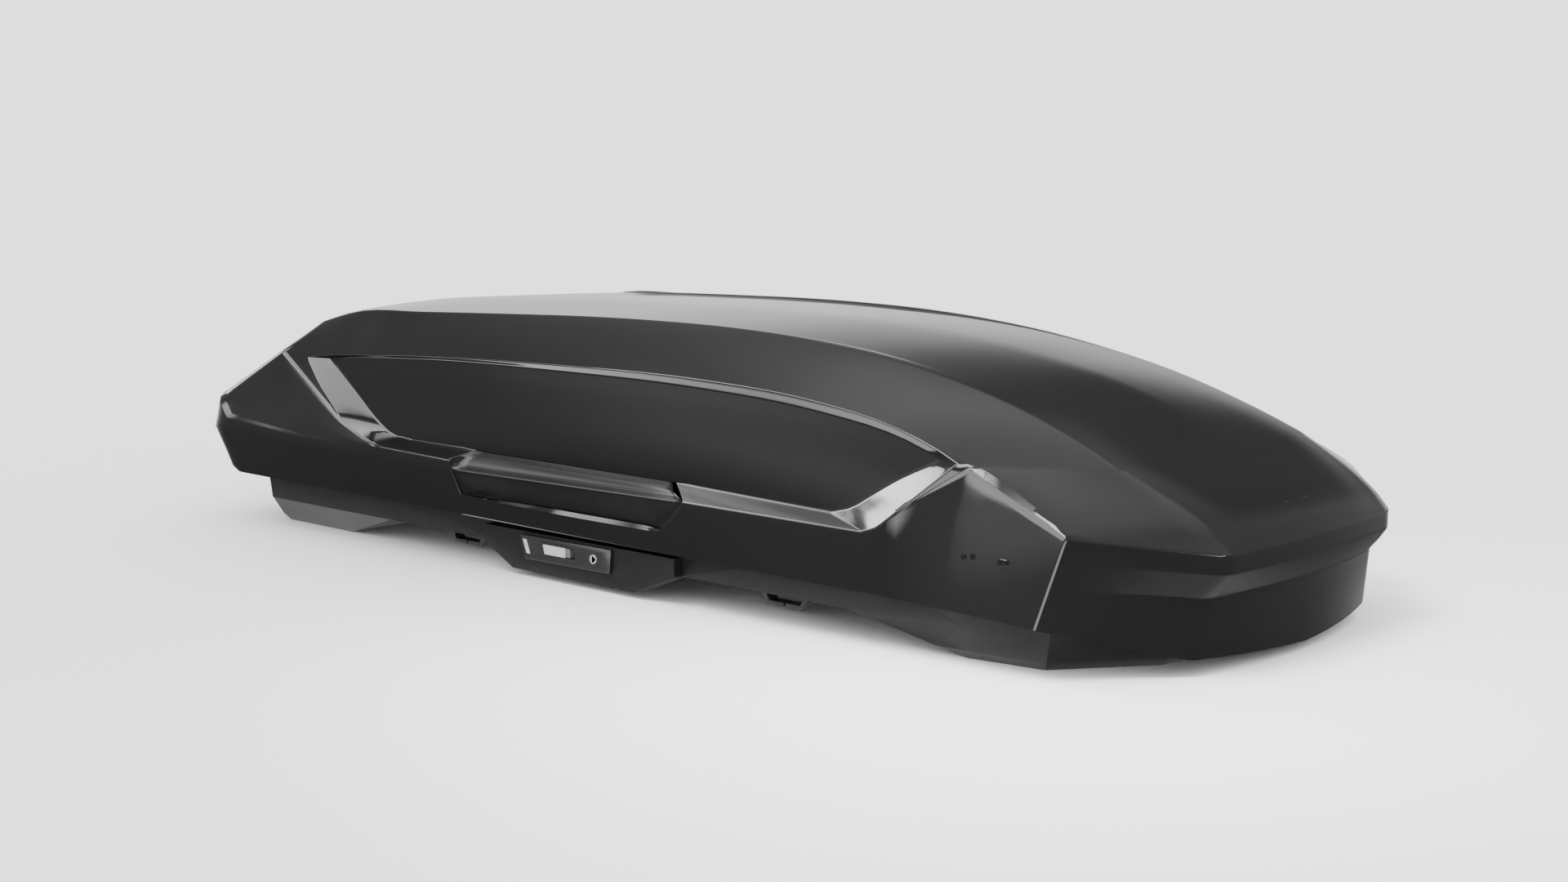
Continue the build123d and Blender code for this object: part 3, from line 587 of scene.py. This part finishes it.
def link(tree, source, out, target, into):
    """Join one node's output to another's input, each by name or number."""
    tree.links.new(source.outputs[out], target.inputs[into])


def surface(name, colour, roughness, metallic=0.0, ior=1.45, vary=0.25, grain=900, depth=0.02, blotch=9.0,
            stretch=(1, 1, 1), rough_spread=0.06, cells=False, specular=0.5):
    """Procedural finish: slow blotches in colour and gloss, and a fine grain in the relief.
    Colour varies by the share vary and roughness by rough_spread; blotch and grain are per metre."""
    material = bpy.data.materials.new(name)
    material.use_nodes = True
    tree = material.node_tree
    shader = tree.nodes["Principled BSDF"]
    shader.inputs["Metallic"].default_value = metallic
    shader.inputs["IOR"].default_value = ior
    shader.inputs["Specular IOR Level"].default_value = specular
    place_node = tree.nodes.new("ShaderNodeTexCoord")
    mapping = tree.nodes.new("ShaderNodeMapping")
    mapping.inputs["Scale"].default_value = stretch
    link(tree, place_node, "Object", mapping, "Vector")
    slow = tree.nodes.new("ShaderNodeTexNoise")
    slow.inputs["Scale"].default_value = blotch
    slow.inputs["Detail"].default_value = 5.0
    link(tree, mapping, "Vector", slow, "Vector")
    tint = tree.nodes.new("ShaderNodeMix")
    tint.data_type = "RGBA"
    tint.inputs[COLOUR_A].default_value = tuple(c * (1 - vary) for c in colour) + (1,)
    tint.inputs[COLOUR_B].default_value = tuple(min(1, c * (1 + vary)) for c in colour) + (1,)
    link(tree, slow, "Fac", tint, 0)
    link(tree, tint, COLOUR_OUT, shader, "Base Color")
    if cells:
        fine = tree.nodes.new("ShaderNodeTexVoronoi")
        fine.inputs["Scale"].default_value = grain
        out = "Distance"
    else:
        fine = tree.nodes.new("ShaderNodeTexNoise")
        fine.inputs["Scale"].default_value = grain
        fine.inputs["Detail"].default_value = 3.0
        out = "Fac"
    link(tree, mapping, "Vector", fine, "Vector")
    gloss = tree.nodes.new("ShaderNodeMapRange")
    gloss.inputs["To Min"].default_value = max(0.02, roughness - rough_spread)
    gloss.inputs["To Max"].default_value = roughness + rough_spread
    link(tree, slow, "Fac", gloss, "Value")
    link(tree, gloss, "Result", shader, "Roughness")
    bump = tree.nodes.new("ShaderNodeBump")
    bump.inputs["Strength"].default_value = depth
    bump.inputs["Distance"].default_value = MM
    link(tree, fine, out, bump, "Height")
    link(tree, bump, "Normal", shader, "Normal")
    return material


FINISHES = {
    "lid_gloss_black": dict(colour=(0.0065, 0.0065, 0.0070), roughness=0.085, ior=1.40, vary=0.12, grain=45,
                            depth=0.003, blotch=3, rough_spread=0.02),
    "handle_satin_black": dict(colour=(0.0045, 0.0045, 0.0048), roughness=0.27, vary=0.15, specular=0.3,
                               grain=700, depth=0.012, blotch=12, rough_spread=0.04),
    "tub_grained_black": dict(colour=(0.0060, 0.0060, 0.0064), roughness=0.42, vary=0.2, grain=1100,
                              depth=0.3, blotch=6, cells=True, specular=0.2),
    "track_aluminium": dict(colour=(0.62, 0.63, 0.64), roughness=0.33, metallic=1, vary=0.06, grain=500,
                            depth=0.12, blotch=14, stretch=(0.02, 1, 1)),
    "rail_aluminium": dict(colour=(0.55, 0.56, 0.57), roughness=0.4, metallic=1, vary=0.08, grain=420,
                           depth=0.15, blotch=10, stretch=(0.02, 1, 1)),
    "rivet_metal": dict(colour=(0.05, 0.05, 0.052), roughness=0.32, metallic=1, vary=0.15, grain=1400,
                        depth=0.1, blotch=60),
    "zinc_steel": dict(colour=(0.50, 0.51, 0.53), roughness=0.36, metallic=1, vary=0.2, grain=260,
                       depth=0.06, blotch=45, cells=True),
    "fitting_black_plastic": dict(colour=(0.015, 0.015, 0.016), roughness=0.5, grain=1300, depth=0.25),
    "bezel_black_plastic": dict(colour=(0.010, 0.010, 0.0105), roughness=0.42, ior=1.42, grain=1500,
                                depth=0.2, blotch=30),
    "slider_grey_plastic": dict(colour=(0.36, 0.36, 0.37), roughness=0.38, vary=0.07, grain=1500, depth=0.1,
                                blotch=40),
    "lock_chrome": dict(colour=(0.34, 0.34, 0.35), roughness=0.3, metallic=0.4, vary=0.05, grain=900,
                        depth=0.04, blotch=60),
    "strut_black_paint": dict(colour=(0.012, 0.012, 0.012), roughness=0.18, grain=300, depth=0.04),
    "strut_chrome": dict(colour=(0.70, 0.70, 0.71), roughness=0.12, metallic=1, vary=0.04, grain=700,
                         depth=0.02, blotch=30, rough_spread=0.03),
    "clamp_black_plastic": dict(colour=(0.014, 0.014, 0.0145), roughness=0.45, grain=1300, depth=0.25),
    "knob_grey_plastic": dict(colour=(0.10, 0.10, 0.105), roughness=0.42, vary=0.1, grain=1300, depth=0.2,
                              blotch=25),
    "jaw_coated_steel": dict(colour=(0.016, 0.016, 0.016), roughness=0.55, grain=900, depth=0.3, blotch=18,
                             cells=True),
}


def dress_cad_nodes():
    """Every CAD piece that still shows takes its slot's finish."""
    for name, node in frame["nodes"].items():
        for slot in node.material_slots:
            slot.material = MATERIALS[SLOT_OF[name]]
        if not node.material_slots:
            node.data.materials.append(MATERIALS[SLOT_OF[name]])


# ---------------------------------------------------------------- studio
PALE = 2.4                  # brightness of the surroundings as the camera sees them
FLOOR_TONE = 0.86
FLOOR_HALF = 60             # metres


def make_floor():
    """Matt pale floor. It is left out of reflections, which see the world's lower half instead."""
    corners = [(-FLOOR_HALF, -FLOOR_HALF, 0), (FLOOR_HALF, -FLOOR_HALF, 0), (FLOOR_HALF, FLOOR_HALF, 0),
               (-FLOOR_HALF, FLOOR_HALF, 0)]
    mesh = bpy.data.meshes.new("floor")
    mesh.from_pydata(corners, [], [(0, 1, 2, 3)])
    mesh.materials.append(surface("floor_pale", (FLOOR_TONE,) * 3, 0.9, vary=0.004, grain=40, depth=0.0,
                                  blotch=2, specular=0.0))
    floor = bpy.data.objects.new("floor", mesh)
    bpy.context.scene.collection.objects.link(floor)
    floor.visible_glossy = False


def direction(azimuth, elevation):
    """Unit vector. Azimuth is from -Y, positive towards +X, in degrees."""
    a, e = math.radians(azimuth), math.radians(elevation)
    return Vector((math.sin(a) * math.cos(e), -math.cos(a) * math.cos(e), math.sin(e)))


def area_light(name, target, away, distance, size, power, spread=50):
    """Soft box aimed at a point, with a grid over it that narrows its beam to spread, in degrees."""
    data = bpy.data.lights.new(name, "AREA")
    data.shape = "RECTANGLE"
    data.size, data.size_y = size
    data.energy = power
    data.spread = math.radians(spread)
    light = bpy.data.objects.new(name, data)
    light.location = Vector(target) + away * distance
    light.rotation_euler = away.to_track_quat("Z", "Y").to_euler()
    bpy.context.scene.collection.objects.link(light)


def make_lights():
    """One small box for the recess's front bevel, and one for the brow over the nose corner."""
    area_light("nose_bevel_box", (0.69, -0.45, 0.25), direction(-80, 27), 0.8, (0.26, 0.34), 0.55)
    area_light("brow_box", (0.90, -0.43, 0.26), direction(-15, 62), 2.0, (1.3, 1.2), 14)


def math_node(tree, operation, a, b):
    """Result of a sum or product of two sockets, or of a socket and a number."""
    node = tree.nodes.new("ShaderNodeMath")
    node.operation = operation
    for i, value in enumerate((a, b)):
        if isinstance(value, (int, float)):
            node.inputs[i].default_value = value
        else:
            tree.links.new(value, node.inputs[i])
    return node.outputs[0]


def ramp(tree, value, low, high, from_value, to_value):
    """Soft change between two values while the input goes from low to high."""
    node = tree.nodes.new("ShaderNodeMapRange")
    node.interpolation_type = "SMOOTHSTEP"
    for socket, number in (("From Min", low), ("From Max", high), ("To Min", from_value), ("To Max", to_value)):
        node.inputs[socket].default_value = number
    tree.links.new(value, node.inputs["Value"])
    return node.outputs["Result"]


# soft panels that only reflections see: azimuth, elevation, inner and outer radius in degrees, and
# brightness, which takes light away where it is negative
GLOWS = [(-39, 37, 18, 23, 9.0), (-66, -50, 16, 22, 6.0), (18, -12, 14, 30, 9.0), (88, 8, 8, 18, 10.0),
         (112, 36, 14, 34, 0.6), (-165, 34, 8, 26, -0.30), (-160, 70, 15, 36, 0.9), (-100, 6, 6, 13, 4.0),
         (-84, 60, 11, 16, 8.0), (-40, 12, 5, 17, 1.0)]


def make_world():
    """Even pale surroundings. Reflections see another world instead: dim walls, a brighter nadir, a bright
    strip low behind the box, and the glows. They were tuned for the photo's angle."""
    world = bpy.data.worlds.new("studio")
    bpy.context.scene.world = world
    world.use_nodes = True
    tree = world.node_tree
    background = tree.nodes["Background"]
    coordinates = tree.nodes.new("ShaderNodeTexCoord")
    axes = tree.nodes.new("ShaderNodeSeparateXYZ")
    link(tree, coordinates, "Generated", axes, "Vector")
    height = axes.outputs["Z"]
    away_x, away_y = -0.66, 0.75                     # level direction from the camera to the box
    behind = math_node(tree, "ADD", math_node(tree, "MULTIPLY", axes.outputs["X"], away_x),
                       math_node(tree, "MULTIPLY", axes.outputs["Y"], away_y))
    strip = math_node(tree, "MULTIPLY", ramp(tree, height, 0.05, 0.42, 0.85, 0.0),
                      math_node(tree, "MULTIPLY", ramp(tree, behind, 0.3, 0.9, 0.1, 1.0),
                                ramp(tree, height, -0.35, -0.1, 0.0, 1.0)))
    walls = math_node(tree, "ADD", ramp(tree, height, -0.25, 0.15, 0.20, 0.42),
                      ramp(tree, height, -0.85, -0.45, 0.7, 0.0))
    seen = math_node(tree, "ADD", strip, walls)
    for azimuth, elevation, inner, outer, strength in GLOWS:
        aim = tree.nodes.new("ShaderNodeVectorMath")
        aim.operation = "DOT_PRODUCT"
        link(tree, coordinates, "Generated", aim, 0)
        aim.inputs[1].default_value = direction(azimuth, elevation)
        glow = ramp(tree, aim.outputs["Value"], math.cos(math.radians(outer)),
                    math.cos(math.radians(inner)), 0.0, strength)
        seen = math_node(tree, "ADD", seen, glow)
    path = tree.nodes.new("ShaderNodeLightPath")
    even = ramp(tree, path.outputs["Is Diffuse Ray"], 0, 1, PALE, PALE / FLOOR_TONE)
    mix = tree.nodes.new("ShaderNodeMix")
    mix.data_type = "FLOAT"
    link(tree, path, "Is Glossy Ray", mix, 0)
    tree.links.new(even, mix.inputs[FLOAT_A])
    tree.links.new(seen, mix.inputs[FLOAT_B])
    link(tree, mix, 0, background, "Color")


def make_camera():
    """Camera at the photo's place and angle."""
    data = bpy.data.cameras.new("camera")
    data.lens, data.sensor_width = 47.527, 36
    data.clip_end = 300
    camera = bpy.data.objects.new("camera", data)
    camera.location = (2.641, -2.869, 0.776)
    camera.rotation_euler = Vector((0.6631, -0.7350, 0.1416)).to_track_quat("Z", "Y").to_euler()
    bpy.context.scene.collection.objects.link(camera)
    bpy.context.scene.camera = camera


# ---------------------------------------------------------------- build everything
SLOT_OF = {part["node"]: part["material_slot"] for part in frame["record"]["subparts"]}
MATERIALS = {slot: surface(slot, **finish) for slot, finish in FINISHES.items()}
dress_cad_nodes()
make_lid()
for side_name, side in SIDES:
    make_handle(side_name, side)
round_the_fittings()
make_locks()
make_floor()
make_lights()
make_world()
make_camera()
bpy.context.view_layer.update()
